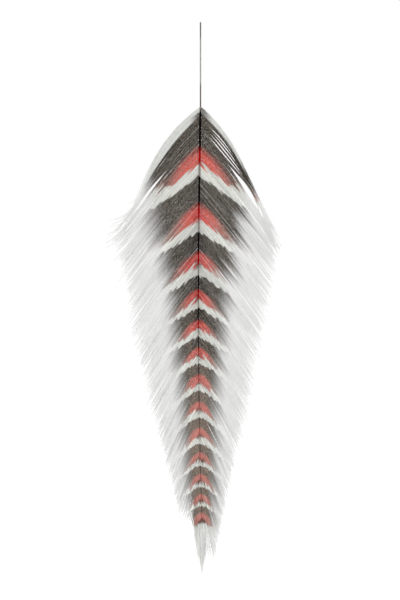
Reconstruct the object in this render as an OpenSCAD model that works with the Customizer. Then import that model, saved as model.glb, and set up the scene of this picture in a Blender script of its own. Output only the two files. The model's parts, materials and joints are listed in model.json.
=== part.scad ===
// Barred hackle feather, hung tip down from its stripped quill.
// All lengths are in millimetres and all angles in degrees.
// Z runs up the shaft and is zero where the bare quill meets the vane.
// The vane's face looks towards -Y.

/* [Quill] */
// Length of the bare quill above the vane
quill_l = 21.5; // [12:0.5:30]
// Diameter of the bare quill
quill_d = 0.36; // [0.3:0.02:0.6]
// Diameter of the hollow inside the quill
quill_bore_d = 0.2; // [0.12:0.02:0.24]

/* [Shaft] */
// Length of the shaft inside the vane
rachis_l = 107; // [80:1:130]
// Widest part of the shaft, just below the quill
rachis_w = 0.56; // [0.44:0.02:0.8]
// Width of the shaft at its lower end
rachis_tip_w = 0.14; // [0.12:0.02:0.2]
// Front to back thickness of the shaft as a share of its width
rachis_flatness = 0.85; // [0.7:0.05:1]
// Width of the pith core as a share of the shaft's width
pith_share = 0.56; // [0.4:0.02:0.62]
// Sideways bow of the shaft
shaft_bow = 0.6; // [0:0.05:1.5]

/* [Barbs] */
// Spacing of the barb blades along the shaft
barb_pitch = 1.35; // [1:0.05:2.5]
// Thickness of a barb blade
barb_t = 0.16; // [0.1:0.02:0.3]
// Share of the spacing that a blade fills
barb_fill = 0.86; // [0.5:0.02:0.9]
// Length of the longest barbs, near the quill
barb_l = 33; // [15:0.5:34]
// Share of its length that a barb has lost by the end of the shaft
barb_shortening = 0.64; // [0.3:0.02:0.7]
// Angle between the vane's two halves and a flat plane
vane_cup = 6; // [0:0.5:10]
// Length of the last barb, beyond the end of the shaft
tip_l = 11.5; // [6:0.5:15]

/* [Flex] */
// Distance from the quill to the first bending point
flex_1 = 42.8; // [40:0.2:46]
// Distance from the quill to the second bending point
flex_2 = 78.8; // [76:0.2:82]
// Clearance between a shaft's rounded head and its socket
flex_gap = 0.03; // [0.02:0.01:0.05]

/* [Hidden] */
// Where each band of barbs starts, measured down the shaft: first the pale leading edge,
// then the thirteen bars, then the pale tip, and last the end of the shaft
BAND_STARTS = [
    0, 1.3, 17.7, 31.9, flex_1, 51, 58.3, 65.1, 72, flex_2, 85.4, 91, 96.3, 101.1, 105.5, rachis_l
];
BANDS = len(BAND_STARTS) - 1;
SIDES = [["left", -1], ["right", 1]];
// Number of steps along the edge of a barb blade
BARB_STEPS = 8;
// Spacing of the points along the outline of the shaft
SHAFT_STEP = 5;
// Gap between a barb's root and the shaft
ROOT_GAP = 0.02;
// Share of a blade's width that is left at its free end
BARB_END = 0.22;
// Distance over which the shaft swells below the quill
SWELL_L = 4;
// Distance from the quill to the end of the pith
PITH_END = 94;
// Clearance between the pith and the wall around it
PITH_GAP = 0.02;
// How far the pith stays from the ends of its length of shaft
PITH_SHY = 0.6;
// How far a shaft's rounded head stands proud of the shaft below it
HEAD_LIP = 0.01;
// Half wavelength of the shaft's sideways bow
BOW_L = 92;
// Share of the bow's size at the quill, and how much it gains by the end of the shaft
BOW_START = 0.8;
BOW_GAIN = 0.6;
// Power by which the shaft tapers, just above 1 for an almost even taper
TAPER_POWER = 1.2;
// Angle between a barb and the shaft, at the root of most barbs and of the last ones
BARB_ANGLE = 42;
LAST_BARB_ANGLE = 9;
// Power by which the angle falls off towards the last barbs
ANGLE_POWER = 2.4;
// How much wider the first barbs spread, and the share of the shaft in which that fades
FIRST_SPREAD = 7;
FIRST_SPREAD_REACH = 0.035;
// Share of its root angle that a barb has left at its free end
END_TURN = 0.88;
// How much more the first barbs turn in, and the share of the shaft in which that fades
FIRST_TURN = 0.33;
FIRST_TURN_REACH = 0.1;
// Widest part of the last barb, which carries on from the end of the shaft
TIP_W = 0.6;
EPS = 0.001;
$fn = 48;

function two_digits(n) = n < 10 ? str("0", n) : str(n);
function band_name(side_name, band) =
    band == 0 ? str("edge_barbs_", side_name)
    : band == BANDS - 1 ? str("tip_barbs_", side_name)
    : str("barbs_", side_name, "_", two_digits(band));
SHAFT_NODES = [
    "quill_tube", "quill_pith",
    "shaft_wall_upper", "shaft_wall_middle", "shaft_wall_lower",
    "shaft_pith_upper", "shaft_pith_middle", "shaft_pith_lower"
];

// ---- the shaft ----

// Sideways offset of the shaft's centre line at distance s below the quill
function bow(s) =
    -shaft_bow * sin(180 * s / BOW_L) * (BOW_START + BOW_GAIN * pow(s / rachis_l, 2));
// Half width of the shaft at distance s
function half_w(s) =
    s < SWELL_L ? (quill_d + (rachis_w - quill_d) * s / SWELL_L) / 2
    : (rachis_w - (rachis_w - rachis_tip_w)
        * pow((s - SWELL_L) / (rachis_l - SWELL_L), TAPER_POWER)) / 2;
// Half thickness of the shaft, front to back
function half_t(s) = half_w(s) * rachis_flatness;
// Radius of the rounded head at the top of a length of shaft
function head_r(s) = half_t(s) + HEAD_LIP;

// Distances s0 and s1, and every multiple of SHAFT_STEP between them
function rows(s0, s1) = concat(
    s0,
    [for (s = [SHAFT_STEP * ceil(s0 / SHAFT_STEP + 0.1) : SHAFT_STEP : s1 - SHAFT_STEP * 0.1]) s],
    s1
);
function reversed(list) = [for (i = [len(list) - 1 : -1 : 0]) list[i]];

// Outline of the shaft seen from the front, and from the side
function front_outline(s0, s1, share) = concat(
    [for (s = rows(s0, s1)) [bow(s) - half_w(s) * share, -s]],
    [for (s = reversed(rows(s0, s1))) [bow(s) + half_w(s) * share, -s]]
);
function side_outline(s0, s1, share) = concat(
    [for (s = rows(s0, s1)) [-half_t(s) * share, -s]],
    [for (s = reversed(rows(s0, s1))) [half_t(s) * share, -s]]
);

// A length of shaft that tapers in both directions, with a rounded head if it turns on the one above
module shaft_length(s0, s1, share = 1, head = false) {
    top = head ? s0 - head_r(s0) : s0;
    intersection() {
        rotate([90, 0, 0]) linear_extrude(height = 2 * rachis_w, center = true)
            polygon(front_outline(top, s1, share));
        rotate([90, 0, 90]) linear_extrude(height = 8 * rachis_w, center = true) {
            polygon(side_outline(s0, s1, share));
            if (head) translate([0, -s0]) circle(r = head_r(s0));
        }
    }
}

// The hollow that a rounded head turns in
module socket(s) {
    translate([bow(s), 0, -s]) rotate([0, 90, 0])
        cylinder(r = head_r(s) + flex_gap, h = 4 * rachis_w, center = true);
}

// The horny wall around the pith of one length of shaft
module shaft_wall(s0, s1, head, socket) {
    end = socket ? s1 - half_t(s1) / 2 : s1;
    color("saddlebrown") difference() {
        shaft_length(s0, end, head = head);
        shaft_length(s0 - (head ? rachis_w : EPS), socket ? s1 : PITH_END, pith_share);
        if (socket) socket(s1);
    }
}

// The pith inside one length of shaft
module shaft_pith(s0, s1) {
    color("ivory") shaft_length(s0, s1, pith_share - 2 * PITH_GAP / rachis_w);
}

module shaft_wall_upper() shaft_wall(0, flex_1, false, true);
module shaft_wall_middle() shaft_wall(flex_1, flex_2, true, true);
module shaft_wall_lower() shaft_wall(flex_2, rachis_l, true, false);
module shaft_pith_upper() shaft_pith(PITH_SHY, flex_1 - PITH_SHY);
module shaft_pith_middle() shaft_pith(flex_1 + PITH_SHY, flex_2 - PITH_SHY);
module shaft_pith_lower() shaft_pith(flex_2 + PITH_SHY, PITH_END - PITH_SHY);

// The bare quill, a straight round tube
module quill_tube() {
    color("dimgray") difference() {
        cylinder(d = quill_d, h = quill_l);
        translate([0, 0, -EPS]) cylinder(d = quill_bore_d, h = quill_l + 2 * EPS);
    }
}

// The dry pith inside the quill, shrunk to a rod with flat sides
module quill_pith() {
    color("ivory") translate([0, 0, PITH_SHY])
        cylinder(d = quill_bore_d - 2 * PITH_GAP, h = quill_l - 2 * PITH_SHY, $fn = 8);
}

// ---- the barbs ----

// Angle between a barb and the shaft, at the barb's root: the first barbs spread the widest, and
// the last ones lie almost along the shaft
function root_angle(f) =
    LAST_BARB_ANGLE + (BARB_ANGLE - LAST_BARB_ANGLE) * (1 - pow(f, ANGLE_POWER))
    + FIRST_SPREAD * exp(-f / FIRST_SPREAD_REACH);
// The same angle at the barb's free end; the first barbs curve in the most
function end_angle(f) =
    root_angle(f) * (END_TURN - FIRST_TURN * exp(-f / FIRST_TURN_REACH));
function barb_length(f) = barb_l * (1 - barb_shortening * f);

// A point on the curved barb that is rooted at distance s, at share u of its length
function barb_point(side, s, u) =
    let (
        f = max(0, min(1, s / rachis_l)),
        l = barb_length(f) / 2,
        mid = l * [sin(root_angle(f)), cos(root_angle(f))],
        end = mid + l * [sin(end_angle(f)), cos(end_angle(f))],
        p = 2 * u * (1 - u) * mid + u * u * end,
        drop = s + p[1]
    )
    [bow(drop) + side * (half_w(min(s, rachis_l)) + ROOT_GAP + p[0]), -drop];

// Outline of a blade that narrows towards its free end
function blade_outline(side, s, half) = concat(
    [for (i = [0 : BARB_STEPS]) let (u = i / BARB_STEPS)
        barb_point(side, s - half * (1 - (1 - BARB_END) * u), u)],
    [for (i = [BARB_STEPS : -1 : 0]) let (u = i / BARB_STEPS)
        barb_point(side, s + half * (1 - (1 - BARB_END) * u), u)]
);

module blade(side, s, half) {
    rotate([0, 0, side * vane_cup]) rotate([90, 0, 0])
        linear_extrude(height = barb_t, center = true) polygon(blade_outline(side, s, half));
}

// The barbs of one band on one side of the shaft, each a blade of its own
module barb_band(side, band) {
    s0 = BAND_STARTS[band];
    s1 = BAND_STARTS[band + 1];
    n = max(1, round((s1 - s0) / barb_pitch));
    pitch = (s1 - s0) / n;
    color(band == 0 || band == BANDS - 1 ? "gainsboro" : band % 2 == 0 ? "indianred" : "dimgray")
        for (i = [0 : n - 1]) blade(side, s0 + (i + 0.5) * pitch, barb_fill * pitch / 2);
}

// The last barb, which carries the feather past the end of its shaft
module tip_barb() {
    x = bow(rachis_l);
    top = -rachis_l - ROOT_GAP;
    color("gainsboro") rotate([90, 0, 0]) linear_extrude(height = barb_t, center = true) polygon([
        [x - rachis_tip_w / 2, top],
        [x - TIP_W / 2, top - tip_l / 3],
        [x, top - tip_l],
        [x + TIP_W / 2, top - tip_l / 3],
        [x + rachis_tip_w / 2, top]
    ]);
}

// ---- the assembly ----

quill_tube();
quill_pith();
shaft_wall_upper();
shaft_wall_middle();
shaft_wall_lower();
shaft_pith_upper();
shaft_pith_middle();
shaft_pith_lower();
for (side = SIDES, band = [0 : BANDS - 1])
    barb_band(side[1], band);
tip_barb();
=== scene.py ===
"""The looks of a barred hackle feather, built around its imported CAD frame.

Each barb of the vane is a fine tapering rod that carries two rows of barbules. The bars are
painted by node materials, which read where a point lies in the pattern from mesh attributes.
"""

import json

import bpy
import numpy as np
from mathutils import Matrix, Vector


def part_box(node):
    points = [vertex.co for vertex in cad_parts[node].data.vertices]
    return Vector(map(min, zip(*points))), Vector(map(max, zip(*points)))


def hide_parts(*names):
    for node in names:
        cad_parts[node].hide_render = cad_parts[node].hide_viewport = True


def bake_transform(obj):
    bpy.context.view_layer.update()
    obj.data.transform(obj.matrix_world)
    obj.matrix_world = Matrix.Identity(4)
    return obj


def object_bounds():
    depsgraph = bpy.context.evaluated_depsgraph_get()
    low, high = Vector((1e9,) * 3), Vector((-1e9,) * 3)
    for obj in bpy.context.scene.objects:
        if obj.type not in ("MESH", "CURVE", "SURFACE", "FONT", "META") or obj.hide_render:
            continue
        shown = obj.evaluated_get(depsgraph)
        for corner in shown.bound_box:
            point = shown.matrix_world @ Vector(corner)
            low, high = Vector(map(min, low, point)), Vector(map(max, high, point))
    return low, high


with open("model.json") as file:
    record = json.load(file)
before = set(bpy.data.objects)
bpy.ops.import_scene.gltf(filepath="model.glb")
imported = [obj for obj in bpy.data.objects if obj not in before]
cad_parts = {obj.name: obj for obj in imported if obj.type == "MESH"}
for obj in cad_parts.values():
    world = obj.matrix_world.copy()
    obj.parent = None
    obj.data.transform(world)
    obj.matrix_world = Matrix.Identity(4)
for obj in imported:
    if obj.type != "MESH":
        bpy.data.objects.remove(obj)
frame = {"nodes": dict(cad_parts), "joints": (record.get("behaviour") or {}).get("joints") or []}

cad_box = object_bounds()

# the seeded source of every random choice, except the shapes of the last barb's strands
rng = np.random.default_rng(41)

# ---- sizes, in metres unless the name says otherwise ----

MM = 0.001
LEFT = -1
RIGHT = 1
SIDES = {"left": LEFT, "right": RIGHT}
BACKWARDS = np.array([0.0, 1.0, 0.0])

quill_low, quill_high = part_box("quill_tube")
shaft_low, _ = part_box("shaft_wall_lower")
QUILL_L = quill_high.z - quill_low.z
QUILL_W = quill_high.x - quill_low.x
SHAFT_L = -shaft_low.z
FLEX = [-joint["pos_m"][2] for joint in frame["joints"]]

# the shaft, as in the CAD part
SHAFT_W = 0.56 * MM
SHAFT_END_W = 0.14 * MM
SHAFT_FLATNESS = 0.85
TAPER_POWER = 1.2
SWELL_L = 4 * MM
SHAFT_BOW = 0.6 * MM
BOW_L = 92 * MM
BOW_START = 0.8
BOW_GAIN = 0.6

# where the pith starts and ends, and its width as a share of the shaft's
PITH_START = 0.6 * MM
PITH_END = 93 * MM
PITH_SHARE = 0.5

# the barbs, as in the CAD part, with their angles to the shaft in degrees
BARB_L = 33 * MM
BARB_SHORTENING = 0.64
BARB_ANGLE = 42
LAST_BARB_ANGLE = 9
ANGLE_POWER = 2.4
FIRST_SPREAD = 7
FIRST_SPREAD_REACH = 0.035
END_TURN = 0.88
VANE_CUP = np.radians(6)
BAND_STARTS = np.array([
    0, 1.3, 17.7, 31.9, FLEX[0] / MM, 51, 58.3, 65.1, 72, FLEX[1] / MM, 85.4, 91, 96.3, 101.1, 105.5,
    SHAFT_L / MM,
]) * MM
BANDS = len(BAND_STARTS) - 1

# the finer build of a barb
BARB_PITCH = 0.31 * MM
BARB_STEPS = 20
BARB_W = 0.085 * MM
BARB_END_W = 0.022 * MM
BARBULE_PITCH = 0.13 * MM
BARBULE_L = 0.25 * MM
BARBULE_FREE_L = 0.37 * MM
BARBULE_W = 0.12 * MM
BARBULE_END_SHARE = 0.45
BARBULE_ANGLE = np.radians(34)

# how far down the shaft the barbs of the pale leading edge are rooted, and the loose top ones
RIM_S = {LEFT: 2.0 * MM, RIGHT: 1.2 * MM}
TOP_L = 14 * MM

# the vane's shoulders, where the first barbs curve in: how far down they reach, the angle that
# they end at, and the share of a barb's length over which it turns
SHOULDER_L = {LEFT: 6 * MM, RIGHT: 8.5 * MM}
SHOULDER_END = {LEFT: np.radians(18), RIGHT: np.radians(23)}
SHOULDER_TURN_BY = {LEFT: 0.8, RIGHT: 0.62}

# how much wider the very first barbs leave the shaft, or closer to it below 0, and how far down
# that fades
TOP_TURN = {LEFT: np.radians(3), RIGHT: -np.radians(1.4)}
TOP_TURN_L = {LEFT: 2.5 * MM, RIGHT: 5 * MM}

# how the free ends of the loose top barbs flare, how far they droop, and how thin their barbules
# get
FLARE = np.radians(48)
FLARE_SHARE = {LEFT: 1.35, RIGHT: 0.6}
DROOP = {LEFT: 0.0, RIGHT: np.radians(26)}
THINNING = {LEFT: 0.6, RIGHT: 0.1}

# where the vane's top has split: place on the shaft in millimetres, opening in millimetres, and
# the shares of a barb's length at which it starts and is fully open
SPLITS = {
    LEFT: [
        (3.4, 0.25, 0.25, 0.6), (5.4, 0.3, 0.35, 0.7), (6.8, 0.8, 0.3, 0.65), (9.6, 0.25, 0.4, 0.75),
        (13.0, 0.3, 0.45, 0.8),
    ],
    RIGHT: [
        (1.9, 0.25, 0.22, 0.4), (2.7, 0.3, 0.04, 0.2), (3.4, 0.34, 0.08, 0.26), (4.3, 0.36, 0.05, 0.24),
        (5.3, 0.3, 0.03, 0.22), (6.5, 1.5, 0.27, 0.62), (7.8, 0.3, 0.14, 0.4), (9.2, 0.28, 0.3, 0.65),
        (11.4, 0.32, 0.35, 0.7), (14.5, 0.28, 0.4, 0.75),
    ],
}

# how much the fading of the bars differs from barb to barb, and how deep the colours are towards
# the free ends of the first barbs
STREAK = {LEFT: 0.04, RIGHT: 0.07}
EDGE_DEPTH = {LEFT: 0.3, RIGHT: 0.5}


def smooth(t):
    """0 below 0, 1 above 1, and a smooth step between."""
    t = np.clip(t, 0, 1)
    return t * t * (3 - 2 * t)


# ---- the shaft's and the barbs' rules, as in the CAD part, at distance s below the quill or at
# share f of the shaft's length ----

def bow(s):
    """Sideways offset of the shaft's centre line."""
    return -SHAFT_BOW * np.sin(np.pi * s / BOW_L) * (BOW_START + BOW_GAIN * (s / SHAFT_L) ** 2)


def half_w(s):
    """Half width of the shaft."""
    swelling = QUILL_W + (SHAFT_W - QUILL_W) * s / SWELL_L
    share = np.clip((s - SWELL_L) / (SHAFT_L - SWELL_L), 0, 1)
    tapering = SHAFT_W - (SHAFT_W - SHAFT_END_W) * share ** TAPER_POWER
    return np.where(s < SWELL_L, swelling, tapering) / 2


def root_angle(f):
    """Angle between a barb and the shaft where the barb is rooted."""
    main = LAST_BARB_ANGLE + (BARB_ANGLE - LAST_BARB_ANGLE) * (1 - f ** ANGLE_POWER)
    return np.radians(main + FIRST_SPREAD * np.exp(-f / FIRST_SPREAD_REACH))


def end_angle(f):
    """The same angle at the barb's free end, before the shoulders turn the first barbs in."""
    return root_angle(f) * END_TURN


def barb_length(f):
    return BARB_L * (1 - BARB_SHORTENING * f)


# ---- the pattern ----

BAR_STARTS = BAND_STARTS[1:-1]
BAR_ENDS = BAND_STARTS[2:]
BARS = len(BAR_STARTS) - 1
BAR_SLOPE = 0.75
RED_START = 0.39
WHITE_START = 0.74
LAST_RED_END = 0.98


def along_bars(away, drop):
    """Where the bar that passes through a point meets the shaft, measured down the shaft."""
    flatter = 0.13 * smooth((drop - 18 * MM) / (20 * MM))
    steeper = 0.33 * smooth((drop - 60 * MM) / (18 * MM))
    slope = BAR_SLOPE - flatter + steeper
    dome = (0.4 + 1.3 * smooth((drop - 55 * MM) / (20 * MM))) * MM
    return drop - slope * (np.sqrt(away ** 2 + dome ** 2) - dome)


def dark_reach(s):
    """How far from the shaft the dark bars go before they fade."""
    return (np.minimum(16.1 * np.exp(-s / (50 * MM)), 14.6) + 0.4 * smooth((s / MM - 70) / 20)) * MM


def bar_shares(at, away, notch):
    """Which bar a point is in, how far down it is, and where the bar's red and white begin.

    The shares are 0 at a bar's start and 1 at the next one's. The red narrows away from the shaft,
    and each barb's notch makes its red longer or shorter."""
    bar = np.clip(np.searchsorted(BAR_STARTS, at, side="right") - 1, 0, BARS - 1)
    size = BAR_ENDS[bar] - BAR_STARTS[bar]
    share = (at - BAR_STARTS[bar]) / size
    pinch = np.minimum((1.15 + 0.25 * smooth((bar - 5) / 4)) * dark_reach(at), 10 * MM)
    narrowing = np.clip(away / pinch, 0, 1) ** 2.4
    red_at = RED_START + 0.19 * np.exp(-bar / 2)
    white_at = WHITE_START + 0.08 * ((bar - 5.5) / 5.5) ** 2
    white_at = np.where(bar == BARS - 1, LAST_RED_END, white_at + notch / size)
    red_at = red_at + (0.87 - red_at) * narrowing
    white_at = white_at + 0.4 * (np.maximum(white_at, 0.88) - white_at) * narrowing
    white_at = white_at - 0.11 * (bar == 0) * smooth((away / MM - 6.5) / 3)
    white_at = np.minimum(white_at, 0.99)
    return bar, share, np.minimum(red_at, white_at - 0.02), white_at


def stripe(at, away, notch=0.0):
    """Three for each bar: dark from 0 to 1, red from 1 to 2, white from 2 to 3."""
    bar, share, red_at, white_at = bar_shares(at, away, notch)
    dark = share / red_at
    red = 1 + (share - red_at) / (white_at - red_at)
    white = 2 + np.minimum((share - white_at) / (1 - white_at), 1)
    value = np.where(share < red_at, dark, np.where(share < white_at, red, white))
    value = np.where(at < BAR_STARTS[0], np.maximum(value, -0.4), value)
    return 3 * bar + np.where(at > BAR_STARTS[-1], 2.5, value)


def dark_core(at, away, notch):
    """The small dark patch by the shaft, under each red chevron, from the third bar down."""
    bar, share, red_at, white_at = bar_shares(at, away, notch)
    spread = np.where(bar > 8, 1.9, 1.0) * MM
    start = red_at + (white_at - red_at) * (0.45 + 0.55 * away / spread)
    inside = smooth((share - start) / 0.06) * (1 - smooth((share - white_at) / 0.04))
    return inside * np.where(bar < 2, 0.0, np.where(bar > 8, 0.85, 0.8)) * (at < BAR_STARTS[-1])


# ---- the layout of the barbs ----

def clump_table():
    """Where the barbs gather in loose clumps: their edges, how hard they pull in and from where."""
    rows = []
    edge = 0.0
    while edge < SHAFT_L:
        wide = rng.uniform(0.9, 2.8)
        rows.append((edge, edge + wide * MM, rng.uniform(0.0, 0.16), rng.uniform(0.3, 0.7)))
        edge += wide * MM
    return np.array(rows)


CLUMPS = {side: clump_table() for side in (LEFT, RIGHT)}


def barb_roots(s0, s1):
    """Where the barbs between s0 and s1 are rooted. They crowd together at the vane's top."""
    crowd = 1.25 * np.exp(-s0 / (1.5 * MM))
    count = max(2, int(round((s1 - s0) / BARB_PITCH * (1 + 0.4 * crowd))))
    s = s0 + ((np.arange(count) + 0.5) / count) ** (1 + 0.2 * crowd) * (s1 - s0)
    return s + rng.uniform(-0.25, 0.25, count) * BARB_PITCH


def barb_lengths(side, s):
    """The CAD part's rule, a little longer at the widest place and shorter at both ends."""
    count = len(s)
    f = np.clip(s / SHAFT_L, 0, 1)
    length = barb_length(f) * (1 + rng.normal(0, 0.03, count))
    length = length * (1 + 0.05 * np.exp(-((f - 0.07) / 0.05) ** 2))
    first = 1 - smooth((s - RIM_S[side]) / (1.5 * MM))
    length = length * (1 - 0.22 * first * rng.uniform(0.4, 1.2, count))
    return length * (1 - 0.33 * smooth((s / MM - 101) / 4))


def barb_angles(side, s, u):
    """The angle between each barb and the shaft, at shares u of the barb's length."""
    count = len(s)
    f = np.clip(s / SHAFT_L, 0, 1)
    upper = np.clip(1 - s / TOP_L, 0, 1)
    shoulder = np.exp(-((s / SHOULDER_L[side]) ** 2))
    end = end_angle(f) * (1 + 0.1 * upper) + (SHOULDER_END[side] - end_angle(f)) * shoulder
    curl = smooth(u[None, :] / (1 + (SHOULDER_TURN_BY[side] - 1) * shoulder[:, None]))
    curl = u + (curl - u) * shoulder[:, None]
    angle = root_angle(f)[:, None] + (end - root_angle(f))[:, None] * curl
    topmost = np.clip(1 - s / TOP_TURN_L[side], 0, 1)
    angle = angle + TOP_TURN[side] * topmost[:, None] * (1 - u)

    loose = smooth((s - 0.6 * MM) / (2.4 * MM))
    flare = loose * upper ** 0.5 * rng.uniform(0, 1, count) ** 1.3 * FLARE
    flare = FLARE_SHARE[side] * flare - DROOP[side] * loose * upper ** 0.5
    angle = angle + flare[:, None] * smooth((u - 0.74) / 0.26)
    angle = angle + np.radians(rng.normal(0, 0.5, count) * (0.3 + 0.7 * loose))[:, None] * u
    stray = (1 + 1.5 * upper) * (0.2 + 0.8 * loose)
    return angle + np.radians(rng.normal(0, 1.2, count) * stray)[:, None] * smooth((u - 0.55) / 0.45)


def clumped(down, s, u, clumps):
    """How far down the barbs lie once each clump has drawn together towards its free ends."""
    low, high, pull, begin = clumps.T
    drawn = smooth((u - begin[:, None]) / (1 - begin[:, None]) * 1.3)
    return down + ((low + high) / 2 - s)[:, None] * pull[:, None] * drawn


def parted(down, s, u, side):
    """How far down the barbs lie once they stand apart on either side of each split."""
    for place, opening, begins, opened in SPLITS[side]:
        gap = s - place * MM
        push = np.sign(gap) * np.exp(-np.abs(gap) / ((0.4 + opening) * MM)) * opening * MM
        down = down + push[:, None] * smooth((u - begins) / (opened - begins))
    return down


def lay_barbs(side, s0, s1):
    """The centre lines of the barbs rooted from s0 to s1, and what the pattern needs to know."""
    s = barb_roots(s0, s1)
    u = np.linspace(0, 1, BARB_STEPS + 1)
    step = (barb_lengths(side, s) / BARB_STEPS)[:, None]
    angle = barb_angles(side, s, u)
    middle = (angle[:, 1:] + angle[:, :-1]) / 2
    root = np.zeros((len(s), 1))
    out = np.concatenate([root, np.cumsum(np.sin(middle) * step, 1)], 1)
    down = np.concatenate([root, np.cumsum(np.cos(middle) * step, 1)], 1)

    table = CLUMPS[side]
    which = np.clip(np.searchsorted(table[:, 1], s), 0, len(table) - 1)
    down = parted(clumped(down, s, u, table[which]), s, u, side)

    lift = rng.normal(0, 0.3, len(table))[which] + rng.normal(0, 0.12, len(s))
    gather = 0.9 * smooth((s / MM - 100) / 3)
    if side == LEFT:
        gather = np.maximum(gather, 0.55 * smooth((s / MM - 88) / 4))
    out = out * (1 - gather[:, None] * smooth(u * 1.2))

    away = half_w(s)[:, None] * 0.7 + out
    drop = s[:, None] + down
    back = away * np.tan(VANE_CUP) + lift[:, None] * MM * u ** 2
    points = np.stack([bow(drop) + side * away, back, -drop], 2)
    return {"s": s, "u": u, "points": points, "away": away, "drop": drop, "side": side}


# ---- what each barb and each point have of the pattern ----

def wobble(count, lone, shared):
    """Random lengths for neighbouring barbs: a part of its own for each, and a part shared by a few."""
    run = np.convolve(rng.normal(0, 1, count + 2), [0.6, 0.6, 0.6], "valid")[:count]
    return (rng.normal(0, 1, count) * lone + run * shared) * MM


def teeth(count):
    """Short runs of barbs whose dark bars start early, the first barb's the most."""
    found = []
    while len(found) < count:
        wide = rng.integers(2, 5)
        found.extend(rng.uniform(0.3, 1.1) * (1 - (np.arange(wide) + 0.5) / wide))
    return (np.array(found[:count]) - 0.28) * MM


def pigment(barbs):
    """How each barb's bars differ from its neighbours', which serrates and streaks them.

    A few barbs bleach from some share of their length on, and 2 stands for never."""
    count = len(barbs["s"])
    lower = smooth((barbs["s"] - 40 * MM) / (40 * MM))
    streak = STREAK[barbs["side"]]
    bleached = np.where(rng.uniform(0, 1, count) < 0.012, rng.uniform(0.1, 0.4, count), 2.0)
    return {
        "shift": wobble(count, 0.12, 0.1) * (1 - 0.5 * lower),
        "tooth": teeth(count) * (1 - 0.45 * lower),
        "notch": wobble(count, 0.35, 0.5) * (1 - 0.45 * lower),
        "spread": 1 + wobble(count, streak, streak) / MM,
        "bleached": bleached,
    }


def pattern_place(side, marks, away, drop, rows):
    """Where points lie along the pattern, with each barb's own shift and tooth."""
    at = along_bars(away, drop) + marks["shift"][rows]
    if side == RIGHT:
        at = np.maximum(at, 0) + BAR_STARTS[0] * (1 - smooth(at / (4 * MM)))
    nearest = BAR_STARTS[np.abs(at[:, None] - BAR_STARTS[None, 1:]).argmin(1) + 1]
    return at + marks["tooth"][rows] * np.exp(-((at - nearest) / (1.3 * MM)) ** 2)


def rim_share(side, s, away):
    """How much a point belongs to the vane's pale leading edge."""
    rim = 1 - smooth((s - RIM_S[side]) / (0.5 * MM))
    if side == LEFT:
        return rim * np.maximum(smooth(away / (3 * MM)), 1 - smooth((s - 0.9 * MM) / (0.5 * MM)))
    rim = rim * (0.25 + 0.75 * smooth((away - 0.8 * MM) / (2.5 * MM)))
    return rim * (1 - smooth((away - 9 * MM) / (4 * MM)))


def faded_share(side, at, fade):
    """How far the bars have faded, towards the barbs' free ends and in the feather's tip."""
    softness = np.clip((at - 15 * MM) / (70 * MM), 0, 1)
    begin = 0.82 - 0.34 * softness
    wider = 0.25 if side == LEFT else 0.0
    end = 1.2 + 0.7 * softness + wider * np.exp(-((at - 24 * MM) / (7 * MM)) ** 2)
    faded = 0.95 * smooth((fade - begin) / (end - begin))
    return np.maximum(faded, 0.45 * smooth((at - BAR_STARTS[-1]) / (1.5 * MM)))


def deep_share(side, s, at, away):
    """How deep the colours are, beside the shaft and towards the free ends of the first barbs."""
    edge = (1 - smooth((s - 4 * MM) / (2 * MM))) * smooth((away - 2 * MM) / (5 * MM))
    edge = edge * EDGE_DEPTH[side]
    reach = 1.6 * MM
    if side == LEFT:
        reach = reach + 2 * MM * np.exp(-((at - 36 * MM) / (7 * MM)) ** 2)
    deep = np.exp(-away / reach) * (0.2 + 0.8 * smooth((at - 12 * MM) / (18 * MM)))
    deep = deep * (1 - smooth((at - 48 * MM) / (25 * MM)))
    return np.maximum(deep, edge)


def painted(barbs, marks, away, drop, rows, place):
    """The attributes that the barb materials read, at points away from and down the shaft."""
    side = barbs["side"]
    s = barbs["s"][rows]
    at = pattern_place(side, marks, away, drop, rows)
    notch = marks["notch"][rows]
    outer = 1.0 if side == LEFT else 1 + 0.14 * (1 - smooth((s - 4.5 * MM) / (1.5 * MM)))
    fade = away / (dark_reach(at) * marks["spread"][rows] * outer)
    rim = rim_share(side, s, away)
    bleach = smooth((place - marks["bleached"][rows]) / 0.1)
    low = smooth((at - 42 * MM) / (45 * MM))
    dull_from = 0.2 + 0.25 * low
    return {
        "stripe": stripe(at, away, notch),
        "pale": np.maximum(np.maximum(faded_share(side, at, fade), rim), bleach),
        "rim": rim,
        "dull": smooth((fade - dull_from) / 0.6),
        "core": dark_core(at, away, notch),
        "deep": deep_share(side, s, at, away),
        "low": low,
    }


# ---- meshes ----

def make_mesh(name, points, quads, attributes):
    """A mesh object of quads with float attributes on its points."""
    mesh = bpy.data.meshes.new(name)
    mesh.vertices.add(len(points))
    mesh.vertices.foreach_set("co", points.astype(np.float32).ravel())
    mesh.loops.add(quads.size)
    mesh.loops.foreach_set("vertex_index", quads.astype(np.int32).ravel())
    mesh.polygons.add(len(quads))
    mesh.polygons.foreach_set("loop_start", np.arange(0, quads.size, 4, dtype=np.int32))
    mesh.polygons.foreach_set("loop_total", np.full(len(quads), 4, np.int32))
    for key, values in attributes.items():
        layer = mesh.attributes.new(key, "FLOAT", "POINT")
        layer.data.foreach_set("value", values.astype(np.float32).ravel())
    mesh.update(calc_edges=True)
    mesh.validate()
    made = bpy.data.objects.new(name, mesh)
    bpy.context.scene.collection.objects.link(made)
    return made


def unit(vectors):
    return vectors / np.maximum(np.linalg.norm(vectors, axis=-1, keepdims=True), 1e-12)


def frames_along(points):
    """Unit tangent of each centre line, and the unit vector across it in the vane's plane."""
    tangent = unit(np.gradient(points, axis=1))
    across = unit(np.cross(tangent, BACKWARDS))
    return tangent, across


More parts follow.
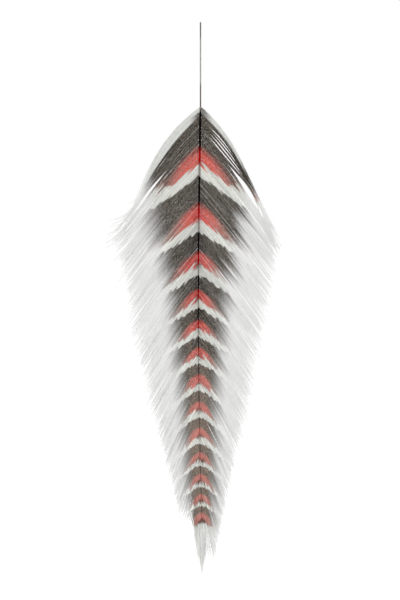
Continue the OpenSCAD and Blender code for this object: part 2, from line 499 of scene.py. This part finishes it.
def barb_rods(barbs, paint):
    """A four-sided tapering rod along each centre line."""
    points, u = barbs["points"], barbs["u"]
    count, steps = points.shape[:2]
    tangent, across = frames_along(points)
    raised = np.cross(across, tangent)
    half = (BARB_END_W + (BARB_W - BARB_END_W) * (1 - u) ** 0.8)[None, :, None] / 2
    corners = [across * half, raised * half * 1.2, -across * half, -raised * half * 1.2]
    ring = np.stack([points + corner for corner in corners], 2)
    index = np.arange(count * steps * 4).reshape(count, steps, 4)
    a, b = index[:, :-1], index[:, 1:]
    quads = np.stack([a, np.roll(a, -1, 2), np.roll(b, -1, 2), b], 3).reshape(-1, 4)
    caps = np.concatenate([index[:, 0, ::-1], index[:, -1]], 0)
    attributes = {key: np.repeat(values.ravel(), 4) for key, values in paint.items()}
    return ring.reshape(-1, 3), np.concatenate([quads, caps]), attributes


def barbule_places(points):
    """For each barbule, its barb's number, its place along the barb and its side of the barb."""
    spans = np.linalg.norm(points[:, 1:] - points[:, :-1], axis=2).sum(1)
    found = []
    for row, span in enumerate(spans):
        number = int(span / BARBULE_PITCH)
        for hand in (-1, 1):
            place = (np.arange(number) + rng.uniform(0.2, 0.8, number)) / number
            found.append(np.stack([np.full(number, row), place, np.full(number, hand)], 1))
    rows, place, hand = np.concatenate(found).T
    return rows.astype(int), place, hand


def barbules(barbs, marks, tone):
    """Two rows of barbules along each barb, longer and finer where the vane is loose."""
    points = barbs["points"]
    tangent, across = frames_along(points)
    rows, place, hand = barbule_places(points)
    s = barbs["s"][rows]
    where = place * BARB_STEPS
    low = np.minimum(where.astype(int), BARB_STEPS - 1)
    mix = (where - low)[:, None]

    def along(values):
        return values[rows, low] * (1 - mix) + values[rows, low + 1] * mix

    base, forward, side_way = along(points), along(tangent), along(across)
    away = along(barbs["away"][:, :, None])[:, 0]
    drop = along(barbs["drop"][:, :, None])[:, 0]

    free = smooth((away / dark_reach(along_bars(away, drop)) - 0.7) / 0.6)
    first = 1 - smooth((s - RIM_S[barbs["side"]]) / (0.8 * MM))
    full = np.maximum(free * (1 - first), first)
    size = (BARBULE_L + (BARBULE_FREE_L - BARBULE_L) * full) * rng.uniform(0.75, 1.2, len(rows))
    size = size * (1 - smooth((place - 0.8) / 0.2) * 0.6)
    turn = BARBULE_ANGLE + rng.normal(0, 0.12, len(rows))
    way = forward * np.cos(turn)[:, None] + side_way * (hand * np.sin(turn))[:, None]
    rise = (hand * 0.05 + rng.normal(0, 0.04, len(rows)))[:, None] * BACKWARDS
    way = unit(way + rise)
    thick = np.cross(way, BACKWARDS)
    wispy = smooth((place - 0.6) / 0.25) * np.clip(1 - s / TOP_L, 0, 1)
    fineness = (1 - 0.12 * free) * (1 - THINNING[barbs["side"]] * wispy)
    half = (BARBULE_W * fineness * rng.uniform(0.8, 1.2, len(rows)) / 2)[:, None]
    end = base + way * size[:, None]
    end_half = half * BARBULE_END_SHARE
    corners = np.stack([
        base - thick * half, base + thick * half, end + thick * end_half, end - thick * end_half,
    ], 1)
    quads = np.arange(len(rows) * 4).reshape(-1, 4)
    paint = painted(barbs, marks, away, drop, rows, place)
    paint["tone"] = np.clip(tone[rows] + rng.normal(0, 0.2, len(rows)), 0, 1)
    attributes = {key: np.repeat(values, 4) for key, values in paint.items()}
    return corners.reshape(-1, 3), quads, attributes


def joined(name, parts):
    """One mesh object from several lots of points, quads and attributes."""
    offsets = np.cumsum([0] + [len(points) for points, _, _ in parts[:-1]])
    points = np.concatenate([part[0] for part in parts])
    quads = np.concatenate([part[1] + offset for part, offset in zip(parts, offsets)])
    attributes = {key: np.concatenate([part[2][key] for part in parts]) for key in parts[0][2]}
    return make_mesh(name, points, quads, attributes)


def dressed(name, barbs):
    """The mesh of a lot of barbs: their rods and their barbules, with the pattern on both."""
    count = len(barbs["s"])
    marks = pigment(barbs)
    tone = rng.uniform(0.25, 0.75, count)
    rows = np.repeat(np.arange(count), BARB_STEPS + 1)
    place = np.tile(barbs["u"], count)
    paint = painted(barbs, marks, barbs["away"].ravel(), barbs["drop"].ravel(), rows, place)
    paint["tone"] = tone[rows]
    return joined(name, [barb_rods(barbs, paint), barbules(barbs, marks, tone)])


# ---- node helpers ----

def new_material(name):
    material = bpy.data.materials.new(name)
    material.use_nodes = True
    nodes = material.node_tree.nodes
    return material, nodes, material.node_tree.links, nodes["Principled BSDF"]


def ramped(nodes, links, factor, stops):
    """The colours of the stops, chosen by the factor."""
    ramp = nodes.new("ShaderNodeValToRGB")
    elements = ramp.color_ramp.elements
    while len(elements) < len(stops):
        elements.new(0.5)
    for element, (position, colour) in zip(elements, stops):
        element.position = position
        element.color = (*colour, 1)
    links.new(factor, ramp.inputs[0])
    return ramp.outputs[0]


def attribute(nodes, name):
    """A number that the mesh carries on its points."""
    node = nodes.new("ShaderNodeAttribute")
    node.attribute_name = name
    return node.outputs["Fac"]


def mixed(nodes, links, factor, a, b, blend="MIX"):
    """A colour mix whose inputs are sockets, colours or numbers."""
    node = nodes.new("ShaderNodeMix")
    node.data_type = "RGBA"
    node.blend_type = blend
    for socket, value in ((node.inputs["Factor"], factor), (node.inputs[6], a), (node.inputs[7], b)):
        if isinstance(value, bpy.types.NodeSocket):
            links.new(value, socket)
        elif isinstance(value, tuple):
            socket.default_value = (*value, 1)
        else:
            socket.default_value = value
    return node.outputs[2]


def maths(nodes, links, operation, *values):
    """The operation's result for values that are sockets or numbers."""
    node = nodes.new("ShaderNodeMath")
    node.operation = operation
    for socket, value in zip(node.inputs, values):
        if isinstance(value, bpy.types.NodeSocket):
            links.new(value, socket)
        else:
            socket.default_value = value
    return node.outputs[0]


def grain(nodes, links, scale, detail=2.0):
    """Noise fixed to the piece, with the given number of waves in a metre."""
    place = nodes.new("ShaderNodeTexCoord")
    noise = nodes.new("ShaderNodeTexNoise")
    noise.inputs["Scale"].default_value = scale
    noise.inputs["Detail"].default_value = detail
    links.new(place.outputs["Object"], noise.inputs["Vector"])
    return noise.outputs["Fac"]


def roughen(nodes, links, shader, factor, spread, least):
    """Roughness that rises with the factor from the least by the spread."""
    rough = maths(nodes, links, "MULTIPLY_ADD", factor, spread, least)
    links.new(rough, shader.inputs["Roughness"])


def bar_phase(nodes, links):
    """How far down its bar a point is: dark up to a third, red up to two thirds, then white."""
    phase = maths(nodes, links, "FLOORED_MODULO", attribute(nodes, "stripe"), 3.0)
    return maths(nodes, links, "DIVIDE", phase, 3.0)


# ---- materials ----

DARK = (0.098, 0.086, 0.072)
RED = (0.6, 0.13, 0.105)
WHITE = (0.67, 0.68, 0.64)
DULL_RED = (0.3, 0.19, 0.16)
DEEP_DARK = (0.018, 0.014, 0.009)
DEEP_RED = (0.42, 0.03, 0.025)
DEEP_WHITE = (0.52, 0.52, 0.49)
LOW_DARK = (0.225, 0.182, 0.15)
LOW_RED = (0.53, 0.225, 0.195)
PALE = (0.83, 0.83, 0.82)
RIM_SHADE = (0.82, 0.83, 0.8)
CORE = (0.1, 0.07, 0.06)
HORN_DARK = (0.003, 0.001, 0.001)
LOW_HORN_DARK = (0.1, 0.08, 0.07)

# waves in a metre of the grain on the barbs, the horn and the pith
SPECKS = 3000
BARB_GRAIN = 2500
HORN_STREAKS = 1400
PITH_CELLS = 6000


def bar_ramp(nodes, links, phase, dark, red, white):
    """One bar's colours, from the top of its dark part to the end of its white."""
    return ramped(nodes, links, phase, [
        (0.0, dark), (0.28, dark), (0.39, red), (0.64, red), (0.68, white), (0.985, white), (1.0, dark),
    ])


def bar_colours(nodes, links, phase):
    """The bars, softer down the feather, duller away from the shaft and deeper beside it."""
    upper = bar_ramp(nodes, links, phase, DARK, RED, WHITE)
    lower = bar_ramp(nodes, links, phase, LOW_DARK, LOW_RED, WHITE)
    near = bar_ramp(nodes, links, phase, DEEP_DARK, DEEP_RED, DEEP_WHITE)
    far = bar_ramp(nodes, links, phase, DARK, DULL_RED, WHITE)
    barred = mixed(nodes, links, attribute(nodes, "low"), upper, lower)
    barred = mixed(nodes, links, attribute(nodes, "dull"), barred, far)
    barred = mixed(nodes, links, attribute(nodes, "deep"), barred, near)
    return mixed(nodes, links, attribute(nodes, "core"), barred, CORE)


def speckled(nodes, links, phase, colour):
    """Fine specks, the most in the dark bars, and fewer down the feather."""
    specks = ramped(nodes, links, grain(nodes, links, SPECKS, 4.0), [
        (0.36, (0.4, 0.4, 0.4)), (0.5, (0.95, 0.95, 0.95)), (0.64, (1.9, 1.88, 1.84)),
    ])
    amount = bar_ramp(nodes, links, phase, (0.9, 0.9, 0.9), (0.35, 0.35, 0.35), (0.08, 0.08, 0.08))
    calm = maths(nodes, links, "MULTIPLY_ADD", attribute(nodes, "low"), -0.5, 1.0)
    amount = maths(nodes, links, "MULTIPLY", amount, calm)
    flecked = mixed(nodes, links, 1.0, colour, specks, "MULTIPLY")
    return mixed(nodes, links, amount, colour, flecked)


def barb_material():
    """Soft barbs, barred dark, red and white near the shaft and pale further out."""
    material, nodes, links, shader = new_material("barred_barb")
    phase = bar_phase(nodes, links)
    tone = ramped(nodes, links, attribute(nodes, "tone"), [
        (0.0, (0.64, 0.64, 0.66)), (1.0, (1.38, 1.37, 1.34)),
    ])
    toned = mixed(nodes, links, 1.0, bar_colours(nodes, links, phase), tone, "MULTIPLY")
    toned = speckled(nodes, links, phase, toned)
    pale_tone = ramped(nodes, links, attribute(nodes, "tone"), [
        (0.0, (0.7, 0.7, 0.7)), (0.35, PALE), (1.0, (0.9, 0.9, 0.89)),
    ])
    faded = mixed(nodes, links, attribute(nodes, "pale"), toned, pale_tone)
    rim = mixed(nodes, links, 1.0, faded, RIM_SHADE, "MULTIPLY")
    rimmed = mixed(nodes, links, attribute(nodes, "rim"), faded, rim)
    links.new(rimmed, shader.inputs["Base Color"])
    roughen(nodes, links, shader, grain(nodes, links, BARB_GRAIN), 0.3, 0.6)
    shader.inputs["Specular IOR Level"].default_value = 0.15
    return material


def shaft_material():
    """Dry horn, near black in the dark bars, dark red in the red ones and grey between."""
    material, nodes, links, shader = new_material("barred_shaft")
    phase = bar_phase(nodes, links)
    upper = ramped(nodes, links, phase, [
        (0.0, (0.002, 0.001, 0.001)), (0.3, HORN_DARK), (0.37, (0.3, 0.002, 0.002)),
        (0.6, (0.32, 0.003, 0.003)), (0.69, (0.22, 0.2, 0.18)), (0.95, (0.26, 0.25, 0.23)),
        (1.0, HORN_DARK),
    ])
    lower = ramped(nodes, links, phase, [
        (0.0, LOW_HORN_DARK), (0.3, LOW_HORN_DARK), (0.37, (0.4, 0.1, 0.09)),
        (0.6, (0.34, 0.1, 0.09)), (0.69, (0.46, 0.46, 0.44)), (0.95, (0.52, 0.52, 0.5)),
        (1.0, LOW_HORN_DARK),
    ])
    bars = mixed(nodes, links, attribute(nodes, "low"), upper, lower)
    streaks = grain(nodes, links, HORN_STREAKS)
    shade = ramped(nodes, links, streaks, [(0.3, (0.7, 0.7, 0.7)), (0.7, (1.25, 1.2, 1.15))])
    coloured = mixed(nodes, links, 1.0, bars, shade, "MULTIPLY")
    links.new(coloured, shader.inputs["Base Color"])
    roughen(nodes, links, shader, streaks, 0.25, 0.55)
    shader.inputs["Specular IOR Level"].default_value = 0.03
    return material


def quill_material():
    """The bare quill, dark at both ends and pale between."""
    material, nodes, links, shader = new_material("barred_quill")
    place = nodes.new("ShaderNodeTexCoord")
    axes = nodes.new("ShaderNodeSeparateXYZ")
    links.new(place.outputs["Object"], axes.inputs[0])
    height = maths(nodes, links, "DIVIDE", axes.outputs["Z"], QUILL_L)
    bars = ramped(nodes, links, height, [
        (0.0, (0.08, 0.06, 0.05)), (0.25, (0.12, 0.1, 0.09)), (0.31, (0.34, 0.33, 0.31)),
        (0.78, (0.3, 0.29, 0.27)), (0.84, (0.13, 0.12, 0.11)), (1.0, (0.1, 0.09, 0.08)),
    ])
    streaks = grain(nodes, links, HORN_STREAKS)
    shade = ramped(nodes, links, streaks, [(0.3, (0.75, 0.75, 0.75)), (0.7, (1.2, 1.2, 1.18))])
    coloured = mixed(nodes, links, 1.0, bars, shade, "MULTIPLY")
    links.new(coloured, shader.inputs["Base Color"])
    roughen(nodes, links, shader, streaks, 0.3, 0.3)
    return material


def pith_material():
    """Dry foam-like pith."""
    material, nodes, links, shader = new_material("pith")
    cells = grain(nodes, links, PITH_CELLS, 4.0)
    shade = ramped(nodes, links, cells, [(0.3, (0.62, 0.56, 0.42)), (0.7, (0.85, 0.8, 0.68))])
    links.new(shade, shader.inputs["Base Color"])
    roughen(nodes, links, shader, cells, 0.2, 0.75)
    return material


def floor_material():
    """Pale paper with a faint unevenness."""
    material, nodes, links, shader = new_material("floor")
    shade = ramped(nodes, links, grain(nodes, links, 20), [
        (0.3, (0.95, 0.95, 0.95)), (0.7, (0.97, 0.97, 0.97)),
    ])
    links.new(shade, shader.inputs["Base Color"])
    shader.inputs["Roughness"].default_value = 0.9
    return material


BARB = barb_material()
SHAFT = shaft_material()
QUILL = quill_material()
PITH = pith_material()

# ---- the vane ----


def bend(piece):
    """Moves the piece's transform into its mesh, so the piece keeps its place."""
    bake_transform(piece)


def band_node(side_name, band):
    """The CAD node that holds a band's barbs."""
    if band == 0:
        return f"edge_barbs_{side_name}"
    if band == BANDS - 1:
        return f"tip_barbs_{side_name}"
    return f"barbs_{side_name}_{band:02d}"


for side_name, side in SIDES.items():
    for band in range(BANDS):
        node = band_node(side_name, band)
        piece = dressed("vane_" + node, lay_barbs(side, BAND_STARTS[band], BAND_STARTS[band + 1]))
        piece.data.materials.append(BARB)
        bend(piece)
        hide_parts(node)

# ---- the shaft and its pith ----

SHAFT_SIDES = 14
SHAFT_RING_STEP = 0.5 * MM
SHAFT_SPLIT = (FLEX[0] + FLEX[1]) / 2

# each layer's share of the shaft's width, depth of the groove, material and slot
WALL_LAYER = (1.0, 0.35, SHAFT, "shaft")
PITH_LAYER = (PITH_SHARE, 0.0, PITH, "pith")


def shaft_mesh(name, s0, s1, share, groove):
    """A length of shaft, domed in front and grooved behind."""
    rings = int(round((s1 - s0) / SHAFT_RING_STEP)) + 1
    s = np.linspace(s0, s1, rings)
    around = np.arange(SHAFT_SIDES) / SHAFT_SIDES * 2 * np.pi
    wide = np.sign(np.cos(around)) * np.abs(np.cos(around)) ** 0.8
    deep = np.sign(np.sin(around)) * np.abs(np.sin(around)) ** 0.8
    deep = deep - groove * np.exp(-((around - np.pi / 2) / 0.5) ** 2)
    half = half_w(s)[:, None] * share
    grooved = smooth((s - SWELL_L) / SWELL_L)[:, None]
    round_deep = np.sin(around)[None, :]
    depth = (round_deep + (deep[None, :] - round_deep) * grooved) * SHAFT_FLATNESS
    level = np.repeat(-s[:, None], SHAFT_SIDES, 1)
    points = np.stack([bow(s)[:, None] + half * wide[None, :], half * depth, level], 2)
    index = np.arange(rings * SHAFT_SIDES).reshape(rings, SHAFT_SIDES)
    a, b = index[:-1], index[1:]
    quads = np.stack([a, b, np.roll(b, -1, 1), np.roll(a, -1, 1)], 2).reshape(-1, 4)
    paint = {
        "stripe": np.repeat(stripe(s, 0 * s), SHAFT_SIDES),
        "low": np.repeat(smooth((s - 50 * MM) / (32 * MM)), SHAFT_SIDES),
    }
    piece = make_mesh(name, points.reshape(-1, 3), quads, paint)
    piece.data.polygons.foreach_set("use_smooth", [True] * len(piece.data.polygons))
    return piece


def add_shaft(name, layer, joint, s0, s1, *nodes):
    """A length of the shaft's wall or pith, in place of the CAD nodes."""
    share, groove, material, slot = layer
    piece = shaft_mesh(name, s0, s1, share, groove)
    piece.data.materials.append(material)
    bend(piece)
    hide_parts(*nodes)


add_shaft("shaft_upper", WALL_LAYER, 0, 0.0, SHAFT_SPLIT, "shaft_wall_upper", "shaft_wall_middle")
add_shaft("shaft_lower", WALL_LAYER, 1, SHAFT_SPLIT, SHAFT_L, "shaft_wall_lower")
add_shaft("pith_upper", PITH_LAYER, 0, PITH_START, SHAFT_SPLIT, "shaft_pith_upper", "shaft_pith_middle")
add_shaft("pith_lower", PITH_LAYER, 1, SHAFT_SPLIT, PITH_END, "shaft_pith_lower")

for node, material in (("quill_tube", QUILL), ("quill_pith", PITH)):
    mesh = frame["nodes"][node].data
    mesh.materials.clear()
    mesh.materials.append(material)

# ---- the last barb ----

TIP_STRANDS = 17


def build_tip():
    """The soft pointed tuft that the shaft's last barb and its neighbours make."""
    tip_low, tip_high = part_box("tip_barb")
    strand_rng = np.random.default_rng(5)
    u = np.linspace(0, 1, BARB_STEPS + 1)
    strands = []
    for _ in range(TIP_STRANDS):
        share = strand_rng.uniform(0.78, 0.985)
        long = (tip_high.z - tip_low.z) * share
        belly = (strand_rng.normal(0, 0.5) - 0.1) * MM
        x = bow(SHAFT_L) + belly * np.sin(np.pi * (u * share) ** 0.8) * (1 - u ** 7)
        y = strand_rng.normal(0, 0.1) * MM * u
        strands.append(np.stack([x, y, tip_high.z - long * u], 1))
    points = np.stack(strands)
    drop = -points[:, :, 2]
    away = np.abs(points[:, :, 0] - bow(drop))
    return dressed("vane_tip_barb", {
        "s": np.full(TIP_STRANDS, SHAFT_L), "u": u, "points": points, "away": away, "drop": drop,
        "side": RIGHT,
    })


tip = build_tip()
tip.data.materials.append(BARB)
bend(tip)
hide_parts("tip_barb")

# ---- floor, light and camera ----

FLOOR_SIZE = 3
FLOOR_DROP = 0.045
PICTURE_HEIGHT = 0.1521
CAMERA_SHIFT = -0.13 * MM
CAMERA_RAISE = -0.0004
LENS = 135
SENSOR = 36

box_low, box_high = cad_box
middle_height = (box_low[2] + box_high[2]) / 2

bpy.ops.mesh.primitive_plane_add(size=FLOOR_SIZE, location=(0, 0, box_low[2] - FLOOR_DROP))
floor = bpy.context.object
floor.name = "floor"
floor.data.materials.append(floor_material())

world = bpy.data.worlds.new("studio")
bpy.context.scene.world = world
world.use_nodes = True
world.node_tree.nodes["Background"].inputs["Color"].default_value = (1, 1, 1, 1)
world.node_tree.nodes["Background"].inputs["Strength"].default_value = 1.0

sun_data = bpy.data.lights.new("sun", "SUN")
sun_data.energy = 0.35
sun_data.angle = np.radians(25)
sun = bpy.data.objects.new("sun", sun_data)
bpy.context.scene.collection.objects.link(sun)
sun.rotation_euler = (np.radians(42), 0, np.radians(-35))

camera_data = bpy.data.cameras.new("camera")
camera_data.lens = LENS
camera_data.sensor_width = SENSOR
camera = bpy.data.objects.new("camera", camera_data)
bpy.context.scene.collection.objects.link(camera)
distance = PICTURE_HEIGHT / 2 * LENS / (SENSOR / 2)
camera.location = (CAMERA_SHIFT, -distance, middle_height + CAMERA_RAISE)
camera.rotation_euler = (np.pi / 2, 0, 0)
bpy.context.scene.camera = camera
bpy.context.scene.view_settings.view_transform = "Standard"
